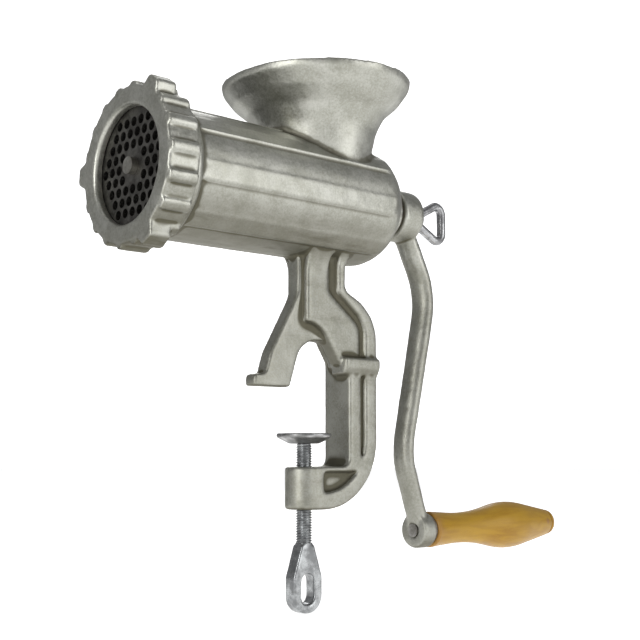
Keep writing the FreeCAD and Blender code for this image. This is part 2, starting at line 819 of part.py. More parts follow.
def crank_path():
    """Bent centre line of the crank arm, from the hub to the lower eye."""
    path = doc.addObject("Sketcher::SketchObject", "crank_path")
    path.Placement = Placement(Vector(0, 0, 0), Rotation(Vector(1, 0, 0), 90))
    corners = [
        (D.hub_front + 9.6, AXIS_UP - 5),
        (D.hub_front + 28.4, 55, 40),
        (D.hub_front + 8.8, -33, 40),
        (D.eye_front + 4.6, GRIP_UP + 2),
    ]
    points = [Vector(value_of(corner[0]), value_of(corner[1]), 0) for corner in corners]
    bends = [corner_arc(points[i], points[i - 1], points[i + 1], corners[i][2]) for i in (1, 2)]
    stops = [points[0], bends[0][0], bends[0][2], bends[1][0], bends[1][2], points[3]]
    lines = [path.addGeometry(Part.LineSegment(stops[i], stops[i + 1])) for i in (0, 2, 4)]
    pin_point(path, lines[0], 1, corners[0][0], corners[0][1])
    pin_point(path, lines[2], 2, corners[3][0], corners[3][1])
    for index, bend in enumerate(bends):
        round_corner(path, lines[index], lines[index + 1], corners[index + 1], bend)
    return path


def crank_bar():
    """Oval bar swept along the bent centre line, a little thinner towards the eye."""
    path = crank_path()
    doc.recompute()
    wire = Part.Wire(Part.__sortEdges__(path.Shape.Edges))
    rings = []
    for share, scale in ((0.0, 1.0), (0.3, 1.0), (0.7, 0.95), (1.0, 0.95)):
        rings.append(bar_section(wire, share, scale))
    bar = wire.makePipeShell(rings, True, False)
    item = doc.addObject("Part::Feature", "crank_bar")
    item.Shape = bar
    return item


def bar_section(wire, share, scale):
    """Oval section of the crank bar, square to its path at a share of the length."""
    distance = share * wire.Length
    for edge in wire.OrderedEdges:
        if distance <= edge.Length + 1e-6:
            break
        distance -= edge.Length
    parameter = edge.getParameterByLength(min(distance, edge.Length))
    if edge.Orientation == "Reversed":
        parameter = edge.getParameterByLength(max(edge.Length - distance, 0))
    point = edge.valueAt(parameter)
    tangent = edge.tangentAt(parameter)
    if tangent.z > 0:
        tangent = tangent * -1
    across = D.arm_width.value / 2 * scale
    along = D.arm_depth.value / 2 * scale
    oval = Part.Ellipse(Vector(0, 0, 0), across, along)
    section = Part.Wire([oval.toShape()])
    frame = Rotation(Vector(0, 1, 0), tangent.cross(Vector(0, 1, 0)), tangent, "ZXY")
    section.Placement = Placement(point, frame)
    return section


def crank_arm():
    hub = new_body("crank_hub")
    revolve(hub, "hub_profile", [
        (D.hub_front, 0),
        (D.hub_front, D.hub_radius, 1.2),
        (D.hub_back, D.hub_radius, 4.5),
        (D.hub_back, 0),
    ])
    place(hub, z=AXIS_UP)
    eye = new_body("crank_eye")
    revolve(eye, "eye_profile", [
        (D.eye_front, 0),
        (D.eye_front, D.eye_radius, 1),
        (D.eye_back, D.eye_radius, 1.6),
        (D.eye_back, 0),
    ])
    place(eye, z=GRIP_UP)
    side = D.drive_square + 0.1
    bore_radius = D.journal_radius - 0.95
    length = D.hub_back - D.hub_front + 2
    square = centred_box("hub_square", length, side, side, D.hub_front - 1, AXIS_UP)
    bore = cylinder("hub_round", bore_radius, length, D.hub_front - 1, 0, AXIS_UP, "X")
    rod_bore = cylinder("rod_bore", D.rod_radius + 0.01, 14, D.eye_front - 2, 0, GRIP_UP, "X")
    solid = fuse("crank_solid", hub, crank_bar(), eye)
    return cut("crank_arm", solid, common("hub_bore", square, bore), rod_bore)


def thumb_loop():
    """D-shaped finger loop bent from round bar."""
    bar = D.thumb_bar.value
    half = D.thumb_height.value / 2 + 0.5
    back = D.thumb_back.value - bar
    neck = D.hub_back.value + 1.6
    up = AXIS_UP.value
    corners = [Vector(neck, 0, up), Vector(back, 0, up + half), Vector(back, 0, up - half)]
    blend = 4.6
    edges = []
    arcs = [corner_arc(corners[i], corners[i - 1], corners[(i + 1) % 3], radius)
            for i, radius in ((0, 2.7), (1, blend), (2, blend))]
    for index in range(3):
        following = (index + 1) % 3
        edges.append(Part.Arc(*arcs[index]).toShape())
        edges.append(Part.LineSegment(arcs[index][2], arcs[following][0]).toShape())
    path = Part.Wire(edges)
    start = arcs[0][2]
    heading = arcs[1][0] - arcs[0][2]
    section = Part.Wire([Part.Circle(start, heading, bar).toShape()])
    item = doc.addObject("Part::Feature", "thumb_loop")
    item.Shape = path.makePipeShell([section], True, False)
    return item


def thumb_screw():
    collar = D.hub_back + 1.3
    shank_front = D.drive_back - 16
    return fuse(
        "thumb_screw",
        cylinder("thumb_shank", D.screw_radius, collar + 1 - shank_front, shank_front, 0, AXIS_UP, "X"),
        cylinder("thumb_collar", 6.2, 4.4, collar, 0, AXIS_UP, "X"),
        thumb_loop(),
    )


def grip():
    body = new_body("grip")
    bore = D.rod_radius + 0.3
    recess = D.rod_radius + 1.5
    revolve(body, "grip_profile", [
        (D.grip_front, bore),
        (D.grip_front, D.grip_end, 1),
        (D.grip_front + 30.5, D.grip_end - 2.2, 110),
        (D.grip_front + 63.5, D.grip_end + 4.7, 62),
        (D.grip_back - 7.2, D.grip_end - 1.6, 14),
        (D.grip_back - 2.2, D.grip_end - 2.6, 1.8),
        (D.grip_back, recess),
        (D.grip_back - 5, recess),
        (D.grip_back - 5, bore),
    ])
    place(body, z=GRIP_UP)
    return body


def grip_rod():
    """Rod riveted into the crank's eye, with a head sunk in the tip of the grip."""
    start = D.eye_front - 0.4
    head_front = D.grip_back - 4.8
    return fuse(
        "grip_rod",
        cylinder("rod_shank", D.rod_radius, head_front - start, start, 0, GRIP_UP, "X"),
        cylinder("rod_head", D.rod_radius + 1.2, 2.4, head_front, 0, GRIP_UP, "X"),
    )


def grip_washer():
    return cut(
        "grip_washer",
        cylinder("grip_washer_outside", D.eye_radius - 1.4, 1, D.eye_back + 0.1, 0, GRIP_UP, "X"),
        cylinder("grip_washer_inside", D.rod_radius + 0.05, 3, D.eye_back - 1, 0, GRIP_UP, "X"),
    )


# ---------------------------------------------------------------- table clamp

def clamp_disc():
    """Dished disc that presses on the underside of the table."""
    body = new_body("clamp_disc")
    neck = 3.0
    revolve(body, "disc_profile", [
        (neck + 0.1, -1.9),
        (6.6, -1.9),
        (6.6, 0),
        (D.disc_radius, 0, 0.6),
        (D.disc_radius, -2.0, 0.6),
        (7.4, -5.2, 1.5),
        (neck + 0.1, -5.2),
    ], "V_Axis")
    place(body, D.clamp_x, 0, D.disc_top)
    return body


def clamp_screw():
    """M8 screw with a forged eye for a finger or tommy bar, and a peened tip in the disc."""
    eye = new_body("screw_eye")
    sketch = new_sketch(eye, "screw_eye_outline")
    half = D.screw_eye_width / 2
    middle = D.screw_eye_top * 0.35 + D.screw_eye_bottom * 0.65
    outline(sketch, [
        (-D.screw_radius, D.screw_eye_top),
        (D.screw_radius, D.screw_eye_top),
        (half, middle + 6, 9),
        (half, D.screw_eye_bottom, half * 0.95),
        (-half, D.screw_eye_bottom, half * 0.95),
        (-half, middle + 6, 9),
    ])
    pad(eye, sketch, D.screw_eye_depth, symmetric=True)
    hole = new_sketch(eye, "screw_eye_hole")
    slot = 4.1
    outline(hole, [
        (-slot, middle - 7.2, 3.8),
        (slot, middle - 7.2, 3.8),
        (slot, middle + 7.6, 3.8),
        (-slot, middle + 7.6, 3.8),
    ])
    pocket_through(eye, hole)
    place(eye, x=D.clamp_x)
    shoulder = D.disc_top - 5.3
    shank_foot = D.screw_eye_top - 4
    tip = D.disc_top - 0.4
    solid = fuse(
        "clamp_screw",
        cylinder("screw_shank", D.screw_radius, shoulder - shank_foot, D.clamp_x, 0, shank_foot),
        cylinder("screw_neck", 3.0, tip - shoulder, D.clamp_x, 0, shoulder),
        cylinder("screw_peen", 5.0, 1.3, D.clamp_x, 0, D.disc_top - 1.8),
        eye,
    )
    return solid


# ---------------------------------------------------------------- build and write the nodes

def build():
    bush_bore = D.journal_radius + D.running_gap
    nodes = [
        body_casting(),
        key_pin_cylinder("plate_key_pin", D.key_radius),
        tube("rear_bush", D.bush_radius, bush_bore, D.chamber_back, D.boss_back - D.chamber_back),
        ring_nut(),
        cutting_plate(),
        knife(),
        auger(),
        auger_stud(),
        tube("thrust_washer", D.core_back + 3, D.journal_radius + 0.1, D.auger_back + 0.1, 1.1),
        crank_arm(),
        thumb_screw(),
        tube("thumb_washer", 7.0, D.screw_radius + 0.4, D.hub_back + 0.1, 1.1),
        grip(),
        grip_washer(),
        grip_rod(),
        clamp_disc(),
        clamp_screw(),
    ]
    for node in nodes:
        node.Label = node.Name
    doc.recompute()
    return nodes


def check(nodes):
    for item in doc.Objects:
        if "Invalid" in item.State or "Error" in item.State:
            raise RuntimeError(f"{item.Name} failed: {item.State}")
    for node in nodes:
        if node.Shape.isNull() or not node.Shape.isValid():
            raise RuntimeError(f"{node.Label} has no valid shape")
        if len(node.Shape.Solids) != 1:
            raise RuntimeError(f"{node.Label} has {len(node.Shape.Solids)} solids")


def write(nodes):
    os.makedirs("parts", exist_ok=True)
    for node in nodes:
        node.Shape.exportStep(f"parts/{node.Label}.step")


nodes = build()
check(nodes)
write(nodes)
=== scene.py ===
import math

import bpy
import bmesh
import numpy as np
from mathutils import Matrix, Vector, noise


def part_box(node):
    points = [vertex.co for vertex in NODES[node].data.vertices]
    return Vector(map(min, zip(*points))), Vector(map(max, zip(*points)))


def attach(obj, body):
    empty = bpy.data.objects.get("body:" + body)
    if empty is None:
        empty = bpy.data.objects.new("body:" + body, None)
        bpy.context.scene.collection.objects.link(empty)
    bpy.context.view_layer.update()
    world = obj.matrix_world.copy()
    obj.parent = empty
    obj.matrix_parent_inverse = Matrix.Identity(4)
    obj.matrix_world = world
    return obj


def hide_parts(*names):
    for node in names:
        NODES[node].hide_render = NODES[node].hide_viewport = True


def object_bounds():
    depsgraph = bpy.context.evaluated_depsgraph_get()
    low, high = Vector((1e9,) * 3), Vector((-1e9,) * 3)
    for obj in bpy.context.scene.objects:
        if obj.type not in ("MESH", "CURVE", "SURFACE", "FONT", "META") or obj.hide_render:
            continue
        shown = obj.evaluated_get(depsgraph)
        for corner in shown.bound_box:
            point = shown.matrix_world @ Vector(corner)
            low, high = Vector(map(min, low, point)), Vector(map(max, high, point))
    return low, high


# Looks for the hand crank meat grinder: tinned castings, zinc-plated screws, dark plate, varnished grip.
# Everything is in metres in the part's own frame: +X to the crank, +Z up.

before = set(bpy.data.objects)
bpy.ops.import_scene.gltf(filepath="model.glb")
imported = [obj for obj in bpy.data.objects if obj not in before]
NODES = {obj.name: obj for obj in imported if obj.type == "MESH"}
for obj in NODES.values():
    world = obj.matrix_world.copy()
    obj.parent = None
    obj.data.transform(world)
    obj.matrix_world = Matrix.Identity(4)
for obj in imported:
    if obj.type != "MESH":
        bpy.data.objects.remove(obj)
LOW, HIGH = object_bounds()
MM = 0.001


def centre(node):
    low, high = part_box(node)
    return (low + high) / 2


# ---------------------------------------------------------------- meshes

def link(name, mesh):
    piece = bpy.data.objects.new(name, mesh)
    bpy.context.scene.collection.objects.link(piece)
    return piece


def read_points(mesh):
    points = np.empty(len(mesh.vertices) * 3, np.float32)
    mesh.vertices.foreach_get("co", points)
    return points.reshape(-1, 3).astype(float)


def write_points(mesh, points):
    mesh.vertices.foreach_set("co", points.astype(np.float32).ravel())
    mesh.update()


def read_normals(mesh):
    normals = np.empty(len(mesh.vertices) * 3, np.float32)
    mesh.vertices.foreach_get("normal", normals)
    return normals.reshape(-1, 3).astype(float)


def read_edges(mesh):
    edges = np.empty(len(mesh.edges) * 2, np.int32)
    mesh.edges.foreach_get("vertices", edges)
    return edges.reshape(-1, 2)


def relax(points, edges, rounds, share):
    """Each round moves every point a share of the way to the mean of its neighbours.

    share is one number for all the points, or a column with one for each.
    """
    count = len(points)
    first, second = edges[:, 0], edges[:, 1]
    valence = np.bincount(first, minlength=count) + np.bincount(second, minlength=count)
    valence = np.maximum(valence, 1)[:, None]
    for _ in range(rounds):
        total = np.empty_like(points)
        for axis in range(3):
            column = points[:, axis]
            after = np.bincount(first, column[second], count)
            before = np.bincount(second, column[first], count)
            total[:, axis] = after + before
        points = points + share * (total / valence - points)
    return points


def lumps(points, size, seed):
    """Smooth noise from -1 to 1 at each point."""
    shift = Vector((seed * 7.13, seed * 3.71, seed * 5.37))
    return np.array([noise.noise(Vector(point) / size + shift) for point in points])


SOFT_SHARE = 0.5
CRISP_SHARE = 0.18


def soft_copy(node, name, voxel, rounds, cavity_rounds=24, lump=0.0, lump_size=5 * MM, seed=0, sharp=None):
    """Copy of a CAD node with rounded edges and filled corners, as sand casting or forging leaves them.

    sharp, if given, tells from the points which of them keep their edges crisper (1) or not (0).
    The mesh attribute "cavity" holds how deep each point lies in a hollow, in millimetres.
    """
    mesh = NODES[node].data.copy()
    build = bmesh.new()
    build.from_mesh(mesh)
    bmesh.ops.remove_doubles(build, verts=build.verts, dist=1e-6)
    build.to_mesh(mesh)
    build.free()
    piece = link(name, mesh)
    modifier = piece.modifiers.new("voxels", "REMESH")
    modifier.mode = "VOXEL"
    modifier.voxel_size = voxel
    evaluated = piece.evaluated_get(bpy.context.evaluated_depsgraph_get())
    fine = bpy.data.meshes.new_from_object(evaluated)
    piece.modifiers.clear()
    piece.data = fine
    bpy.data.meshes.remove(mesh)
    edges = read_edges(fine)
    points = read_points(fine)
    share = SOFT_SHARE
    if sharp:
        share = (SOFT_SHARE - (SOFT_SHARE - CRISP_SHARE) * sharp(points))[:, None]
    points = relax(points, edges, rounds, share)
    write_points(fine, points)
    normals = read_normals(fine)
    softer = relax(points, edges, cavity_rounds, SOFT_SHARE)
    cavity = ((softer - points) * normals).sum(1)
    if lump:
        rough = lumps(points, lump_size, seed) + 0.5 * lumps(points, lump_size / 2.7, seed + 5)
        points = points + normals * (rough * lump)[:, None]
        write_points(fine, points)
    attribute = fine.attributes.new("cavity", "FLOAT", "POINT")
    attribute.data.foreach_set("value", (cavity / MM).astype(np.float32))
    fine.shade_smooth()
    return piece


def tube_mesh(name, rings, caps=True):
    """Closed skin over a list of rings of points, each ring given in the same order."""
    count = len(rings[0])
    verts = [tuple(point) for ring in rings for point in ring]
    faces = []
    for row in range(len(rings) - 1):
        for index in range(count):
            following = (index + 1) % count
            a, b = row * count + index, row * count + following
            faces.append((a, b, b + count, a + count))
    if caps:
        faces.append(tuple(range(count))[::-1])
        last = (len(rings) - 1) * count
        faces.append(tuple(last + index for index in range(count)))
    mesh = bpy.data.meshes.new(name)
    mesh.from_pydata(verts, [], faces)
    mesh.update()
    build = bmesh.new()
    build.from_mesh(mesh)
    bmesh.ops.recalc_face_normals(build, faces=build.faces)
    build.to_mesh(mesh)
    build.free()
    return link(name, mesh)


def threaded_rod(name, axis_point, along, length, radius, pitch, depth, segments=56, rows_per_turn=10):
    """Rod with a real helical thread, blended to plain ends."""
    along = Vector(along).normalized()
    side = along.orthogonal().normalized()
    up = along.cross(side)
    rows = int(length / pitch * rows_per_turn)
    rings = []
    for row in range(rows + 1):
        height = length * row / rows
        fade = min(1, height / (0.8 * pitch), (length - height) / (0.8 * pitch))
        ring = []
        for index in range(segments):
            angle = 2 * math.pi * index / segments
            phase = (height / pitch - angle / (2 * math.pi)) % 1
            ridge = min(1, max(0, 1.25 - abs(phase - 0.5) * 3.2))
            reach = radius - depth * (1 - ridge * fade)
            ring.append(axis_point + along * height + (side * math.cos(angle) + up * math.sin(angle)) * reach)
        rings.append(ring)
    piece = tube_mesh(name, rings)
    piece.data.shade_smooth()
    return piece


# ---------------------------------------------------------------- node materials

class Nodes:
    """Small helper to lay out a procedural material."""

    def __init__(self, name):
        self.material = bpy.data.materials.new(name)
        self.material.use_nodes = True
        self.tree = self.material.node_tree
        self.tree.nodes.clear()
        self.shader = self.add("ShaderNodeBsdfPrincipled")
        output = self.add("ShaderNodeOutputMaterial")
        self.join(self.shader.outputs["BSDF"], output.inputs["Surface"])
        self.coordinates = self.add("ShaderNodeTexCoord")
        self.place = self.coordinates.outputs["Object"]

    def add(self, kind, **settings):
        node = self.tree.nodes.new(kind)
        for name, value in settings.items():
            setattr(node, name, value)
        return node

    def join(self, output, socket):
        self.tree.links.new(output, socket)

    def feed(self, socket, value):
        if isinstance(value, bpy.types.NodeSocket):
            self.join(value, socket)
        else:
            socket.default_value = value

    def noise(self, scale, detail=4.0, rough=0.6, place=None, distortion=0.0):
        node = self.add("ShaderNodeTexNoise")
        self.join(place or self.place, node.inputs["Vector"])
        node.inputs["Scale"].default_value = scale
        node.inputs["Detail"].default_value = detail
        node.inputs["Roughness"].default_value = rough
        node.inputs["Distortion"].default_value = distortion
        return node.outputs["Fac"]

    def cells(self, scale):
        node = self.add("ShaderNodeTexVoronoi", feature="F1")
        self.join(self.place, node.inputs["Vector"])
        node.inputs["Scale"].default_value = scale
        return node.outputs["Distance"]

    def stretch(self, scale, turn=(0, 0, 0)):
        node = self.add("ShaderNodeMapping")
        self.join(self.place, node.inputs["Vector"])
        node.inputs["Scale"].default_value = scale
        node.inputs["Rotation"].default_value = turn
        return node.outputs["Vector"]

    def axis(self, name):
        split = self.add("ShaderNodeSeparateXYZ")
        self.join(self.place, split.inputs["Vector"])
        return split.outputs[name]

    def facing_down(self):
        """1 where the surface faces down, 0 where it faces up or sideways."""
        split = self.add("ShaderNodeSeparateXYZ")
        self.join(self.coordinates.outputs["Normal"], split.inputs["Vector"])
        return self.math("MAXIMUM", self.times(split.outputs["Z"], -1.0), 0.0)

    def attribute(self, name):
        return self.add("ShaderNodeAttribute", attribute_name=name).outputs["Fac"]

    def ramp(self, value, low, high, out_low=0.0, out_high=1.0):
        node = self.add("ShaderNodeMapRange", interpolation_type="SMOOTHSTEP")
        self.feed(node.inputs["Value"], value)
        limits = {"From Min": low, "From Max": high, "To Min": out_low, "To Max": out_high}
        for socket, number in limits.items():
            node.inputs[socket].default_value = number
        return node.outputs["Result"]

    def math(self, operation, first, second):
        node = self.add("ShaderNodeMath", operation=operation)
        self.feed(node.inputs[0], first)
        self.feed(node.inputs[1], second)
        return node.outputs[0]

    def times(self, value, factor):
        return self.math("MULTIPLY", value, factor)

    def plus(self, first, second):
        return self.math("ADD", first, second)

    def mix(self, share, first, second):
        node = self.add("ShaderNodeMix", data_type="RGBA")
        self.feed(node.inputs["Factor"], share)
        for socket, value in ((node.inputs[6], first), (node.inputs[7], second)):
            self.feed(socket, value if isinstance(value, bpy.types.NodeSocket) else (*value, 1.0))
        return node.outputs[2]

    def bump(self, height, strength, distance, normal=None):
        node = self.add("ShaderNodeBump")
        node.inputs["Strength"].default_value = strength
        node.inputs["Distance"].default_value = distance
        self.join(height, node.inputs["Height"])
        if normal:
            self.join(normal, node.inputs["Normal"])
        return node.outputs["Normal"]

    def finish(self, **inputs):
        for name, value in inputs.items():
            socket = self.shader.inputs[name.replace("_", " ")]
            if isinstance(value, tuple) and len(value) == 3:
                value = (*value, 1.0)
            self.feed(socket, value)
        return self.material


def tinned_iron(name, bright=(0.50, 0.50, 0.455), dull=(0.33, 0.33, 0.285), stain_and_shade=(0.095, 0.087, 0.055),
                grain=1.0, stain_and_shade_amount=1.0, rough=(0.32, 0.46)):
    """Hot-tinned sand casting: bright crystals over dull metal, with stain streaks and pits, and painted
    shade in the hollows, on the undersides and towards the bottom.
    """
    kit = Nodes(name)
    cloud = kit.noise(70, 5, 0.62)
    speck = kit.noise(950, 3, 0.7)
    fine = kit.noise(2100, 2, 0.6)
    crystal = kit.cells(800)
    mottle = kit.plus(kit.times(cloud, 0.5), kit.times(speck, 0.5))
    shade = kit.ramp(mottle, 0.36, 0.64)
    colour = kit.mix(shade, dull, bright)
    # Painted shade: points that lie deep in a hollow are darkened towards the stain colour.
    hollow = kit.ramp(kit.attribute("cavity"), 0.02, 0.22)
    streaks = kit.ramp(kit.noise(60, 5, 0.68, kit.stretch((0.35, 1.6, 1.6)), 0.3), 0.52, 0.74)
    pits = kit.ramp(kit.noise(520, 4, 0.8), 0.62, 0.70)
    # Painted shade: surfaces that face down, below the hopper's height, are darkened towards the stain
    # colour.
    under_hopper = kit.ramp(kit.axis("Z"), 95 * MM, 80 * MM)
    painted_underside_shade = kit.times(kit.ramp(kit.facing_down(), 0.10, 0.80), under_hopper)
    # This mask sums real stain streaks with the painted shade in hollows, on undersides and low down.
    stains_and_shade = kit.times(hollow, 0.70 * stain_and_shade_amount)
    stains_and_shade = kit.plus(stains_and_shade, kit.times(streaks, 0.22 * stain_and_shade_amount))
    stains_and_shade = kit.plus(stains_and_shade, kit.times(painted_underside_shade, 0.55 * stain_and_shade_amount))
    # Painted shade: below 76 mm the metal grows darker towards the bottom, fully so from 56 mm down.
    painted_low_shade = kit.ramp(kit.axis("Z"), 76 * MM, 56 * MM, 0.0, 0.26)
    stains_and_shade = kit.math("MINIMUM", kit.plus(stains_and_shade, painted_low_shade), 0.9)
    colour = kit.mix(stains_and_shade, colour, stain_and_shade)
    colour = kit.mix(kit.times(pits, 0.28 * stain_and_shade_amount), colour, stain_and_shade)
    roughness = kit.ramp(speck, 0.3, 0.7, rough[0], rough[1])
    roughness = kit.math("MINIMUM", kit.plus(roughness, kit.times(stains_and_shade, 0.25)), 0.8)
    height = kit.plus(kit.times(speck, 0.6), kit.times(crystal, 0.4))
    normal = kit.bump(fine, 0.18 * grain, 0.08 * MM)
    normal = kit.bump(height, 0.26 * grain, 0.18 * MM, normal)
    normal = kit.bump(kit.noise(230, 3, 0.5), 0.20 * grain, 0.45 * MM, normal)
    return kit.finish(Base_Color=colour, Metallic=0.95, Roughness=roughness, Normal=normal)


def zinc(name, base=(0.47, 0.475, 0.48), dark=(0.24, 0.24, 0.245), rough=0.26):
    """Bright zinc plate with handling marks and dull bloom."""
    kit = Nodes(name)
    bloom = kit.noise(160, 5, 0.65)
    fine = kit.noise(1300, 3, 0.7)
    scratch = kit.noise(90, 4, 0.6, kit.stretch((1.0, 1.0, 22.0), (0.3, 0.5, 0.2)))
    colour = kit.mix(kit.ramp(bloom, 0.38, 0.66), dark, base)
    specks = kit.times(kit.ramp(fine, 0.58, 0.72), 0.5)
    colour = kit.mix(specks, colour, (0.16, 0.15, 0.13))
    roughness = kit.ramp(bloom, 0.3, 0.7, rough + 0.16, rough - 0.04)
    normal = kit.bump(fine, 0.22, 0.10 * MM)
    normal = kit.bump(scratch, 0.25, 0.12 * MM, normal)
    return kit.finish(Base_Color=colour, Metallic=1.0, Roughness=roughness, Normal=normal)


def turned_steel(name, base, dark, rough=0.3):
    """Ground or turned steel with fine rings about the axis and oil stains."""
    kit = Nodes(name)
    rings = kit.noise(900, 3, 0.6, kit.stretch((9.0, 1.0, 1.0)))
    cloud = kit.noise(120, 5, 0.65)
    colour = kit.mix(kit.ramp(cloud, 0.35, 0.65), dark, base)
    colour = kit.mix(kit.times(kit.ramp(rings, 0.4, 0.7), 0.3), colour, dark)
    roughness = kit.ramp(cloud, 0.3, 0.7, rough + 0.12, rough)
    normal = kit.bump(rings, 0.25, 0.08 * MM)
    return kit.finish(Base_Color=colour, Metallic=1.0, Roughness=roughness, Normal=normal)


def varnished_wood(name):
    """Pale hardwood under an amber varnish, its grain along the grip, with a few small knots."""
    kit = Nodes(name)
    long_grain = kit.stretch((7.0, 60.0, 60.0))
    streaks = kit.noise(4.6, 7, 0.62, long_grain, 0.7)
    pores = kit.noise(24, 4, 0.75, kit.stretch((10.0, 110.0, 110.0)), 0.2)
    cloud = kit.noise(26, 4, 0.55)
    knots = kit.cells(46)
    flecks = kit.ramp(kit.noise(210, 3, 0.65), 0.66, 0.76)
    colour = kit.mix(kit.ramp(streaks, 0.34, 0.68), (0.40, 0.225, 0.016), (0.31, 0.16, 0.011))
    colour = kit.mix(kit.times(kit.ramp(cloud, 0.42, 0.70), 0.55), colour, (0.44, 0.265, 0.026))
    colour = kit.mix(kit.times(kit.ramp(pores, 0.58, 0.76), 0.42), colour, (0.21, 0.095, 0.014))
    colour = kit.mix(kit.times(kit.ramp(knots, 0.12, 0.04), 0.85), colour, (0.27, 0.13, 0.04))
    colour = kit.mix(kit.times(flecks, 0.6), colour, (0.30, 0.16, 0.05))
    ends = kit.attribute("ends")
    colour = kit.mix(kit.times(ends, 0.62), colour, (0.33, 0.17, 0.05))
    normal = kit.bump(streaks, 0.16, 0.25 * MM)
    normal = kit.bump(pores, 0.18, 0.10 * MM, normal)
    roughness = kit.ramp(cloud, 0.35, 0.65, 0.34, 0.46)
    return kit.finish(Base_Color=colour, Roughness=roughness, Normal=normal, Specular_IOR_Level=0.30,
                      Coat_Weight=0.12, Coat_Roughness=0.25)


def plain_rough(name, base, dark, rough, metallic=0.0):
    """Fibre or bronze: cloudy colour with fine pits."""
    kit = Nodes(name)
    cloud = kit.noise(200, 5, 0.6)
    fine = kit.noise(1200, 3, 0.7)
    colour = kit.mix(kit.ramp(cloud, 0.35, 0.65), dark, base)
    normal = kit.bump(fine, 0.3, 0.10 * MM)
    roughness = kit.ramp(fine, 0.3, 0.7, rough - 0.06, rough + 0.10)
    return kit.finish(Base_Color=colour, Metallic=metallic, Roughness=roughness, Normal=normal)


def dress(piece, material):
    piece.data.materials.clear()
    piece.data.materials.append(material)


def put(piece, body, slot, material, *nodes):
    """Give a detailed piece its material and body, and let it stand for its CAD nodes. The slot argument is
    not used.
    """
    dress(piece, material)
    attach(piece, body)
    if nodes:
        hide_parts(*nodes)
    return piece


# ---------------------------------------------------------------- the grinder

body_tin = tinned_iron("tinned body")
ring_tin = tinned_iron("tinned ring", grain=0.9)
crank_tin = tinned_iron("tinned crank", grain=1.0, stain_and_shade_amount=0.9)
auger_tin = tinned_iron("tinned auger", (0.44, 0.44, 0.40), (0.26, 0.26, 0.23), stain_and_shade_amount=0.6)
BARREL_FOOT = 68 * MM


def above_the_leg(points):
    """The barrel and the hopper keep their turned steps; the leg and clamp are softer."""
    return (points[:, 2] > BARREL_FOOT).astype(float)


casting = put(soft_copy("body_casting", "casting", 0.8 * MM, 8, lump=0.09 * MM, lump_size=7 * MM, seed=1,
                        sharp=above_the_leg),
              "casting", "tinned_body", body_tin, "body_casting")
ring = put(soft_copy("ring_nut", "ring", 0.6 * MM, 7, lump=0.10 * MM, lump_size=5 * MM, seed=2),
           "ring", "tinned_ring", ring_tin, "ring_nut")
crank = put(soft_copy("crank_arm", "crank", 0.6 * MM, 8, lump=0.16 * MM, lump_size=9 * MM, seed=3),
            "crank", "tinned_crank", crank_tin, "crank_arm")
worm = put(soft_copy("auger", "worm", 0.8 * MM, 4, lump=0.08 * MM, lump_size=5 * MM, seed=4),
           "feed", "tinned_auger", auger_tin, "auger")
thumb = put(soft_copy("thumb_screw", "thumb_loop", 0.4 * MM, 5, lump=0.05 * MM, lump_size=4 * MM, seed=5),
            "thumb", "zinc_thumb", zinc("zinc thumb screw"), "thumb_screw")
disc_zinc = zinc("zinc disc", (0.42, 0.42, 0.42), (0.20, 0.20, 0.195), 0.32)
disc = put(soft_copy("clamp_disc", "pressing_disc", 0.35 * MM, 3, lump=0.04 * MM, lump_size=3 * MM, seed=6),
           "disc", "zinc_disc", disc_zinc, "clamp_disc")


EYE_LENGTH = 33.8 * MM
SHANK_RADIUS = 4.0 * MM
SHANK_OVERLAP = 0.6 * MM
THREAD_PITCH = 1.25 * MM
THREAD_DEPTH = 0.62 * MM


def screw_eye():
    """Forged eye of the clamp screw with a short plain neck, cut from a soft copy of the screw."""
    piece = soft_copy("clamp_screw", "screw_eye", 0.4 * MM, 18, lump=0.07 * MM, lump_size=5 * MM, seed=7)
    cut_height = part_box("clamp_screw")[0].z + EYE_LENGTH
    build = bmesh.new()
    build.from_mesh(piece.data)
    geometry = build.verts[:] + build.edges[:] + build.faces[:]
    result = bmesh.ops.bisect_plane(build, geom=geometry, plane_co=(0, 0, cut_height), plane_no=(0, 0, 1),
                                    clear_outer=True)
    rim = [item for item in result["geom_cut"] if isinstance(item, bmesh.types.BMEdge)]
    bmesh.ops.contextual_create(build, geom=rim)
    build.to_mesh(piece.data)
    build.free()
    return piece, cut_height


zinc_screw = zinc("zinc screw", (0.45, 0.465, 0.47), (0.22, 0.225, 0.23), 0.24)
eye, eye_top = screw_eye()
put(eye, "screw", "zinc_screw", zinc_screw, "clamp_screw")
screw_x = centre("clamp_screw").x
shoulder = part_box("clamp_disc")[0].z - 0.1 * MM
shank_foot = Vector((screw_x, 0, eye_top - SHANK_OVERLAP))
shank = threaded_rod("screw_thread", shank_foot, (0, 0, 1), shoulder - shank_foot.z,
                     SHANK_RADIUS, THREAD_PITCH, THREAD_DEPTH)
put(shank, "screw", "zinc_screw", zinc_screw)


def turned_pin(name, profile, axis_x, segments=40):
    """Small turned piece about a vertical axis, from (radius, height) pairs in millimetres."""
    rings = []
    for radius, height in profile:
        rings.append([Vector((axis_x + radius * MM * math.cos(2 * math.pi * i / segments),
                              radius * MM * math.sin(2 * math.pi * i / segments), height))
                      for i in range(segments)])
    piece = tube_mesh(name, rings)
    piece.data.shade_smooth()
    return piece


peen_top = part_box("clamp_screw")[1].z
peen = turned_pin("screw_peen", [
    (3.0, shoulder - 0.2 * MM), (3.0, peen_top - 1.4 * MM), (5.0, peen_top - 1.35 * MM),
    (5.0, peen_top - 0.7 * MM), (4.2, peen_top - 0.25 * MM), (2.4, peen_top), (0.6, peen_top),
], screw_x)
put(peen, "screw", "zinc_screw", zinc_screw)


COUNTERBORE_DEPTH = 5.0 * MM


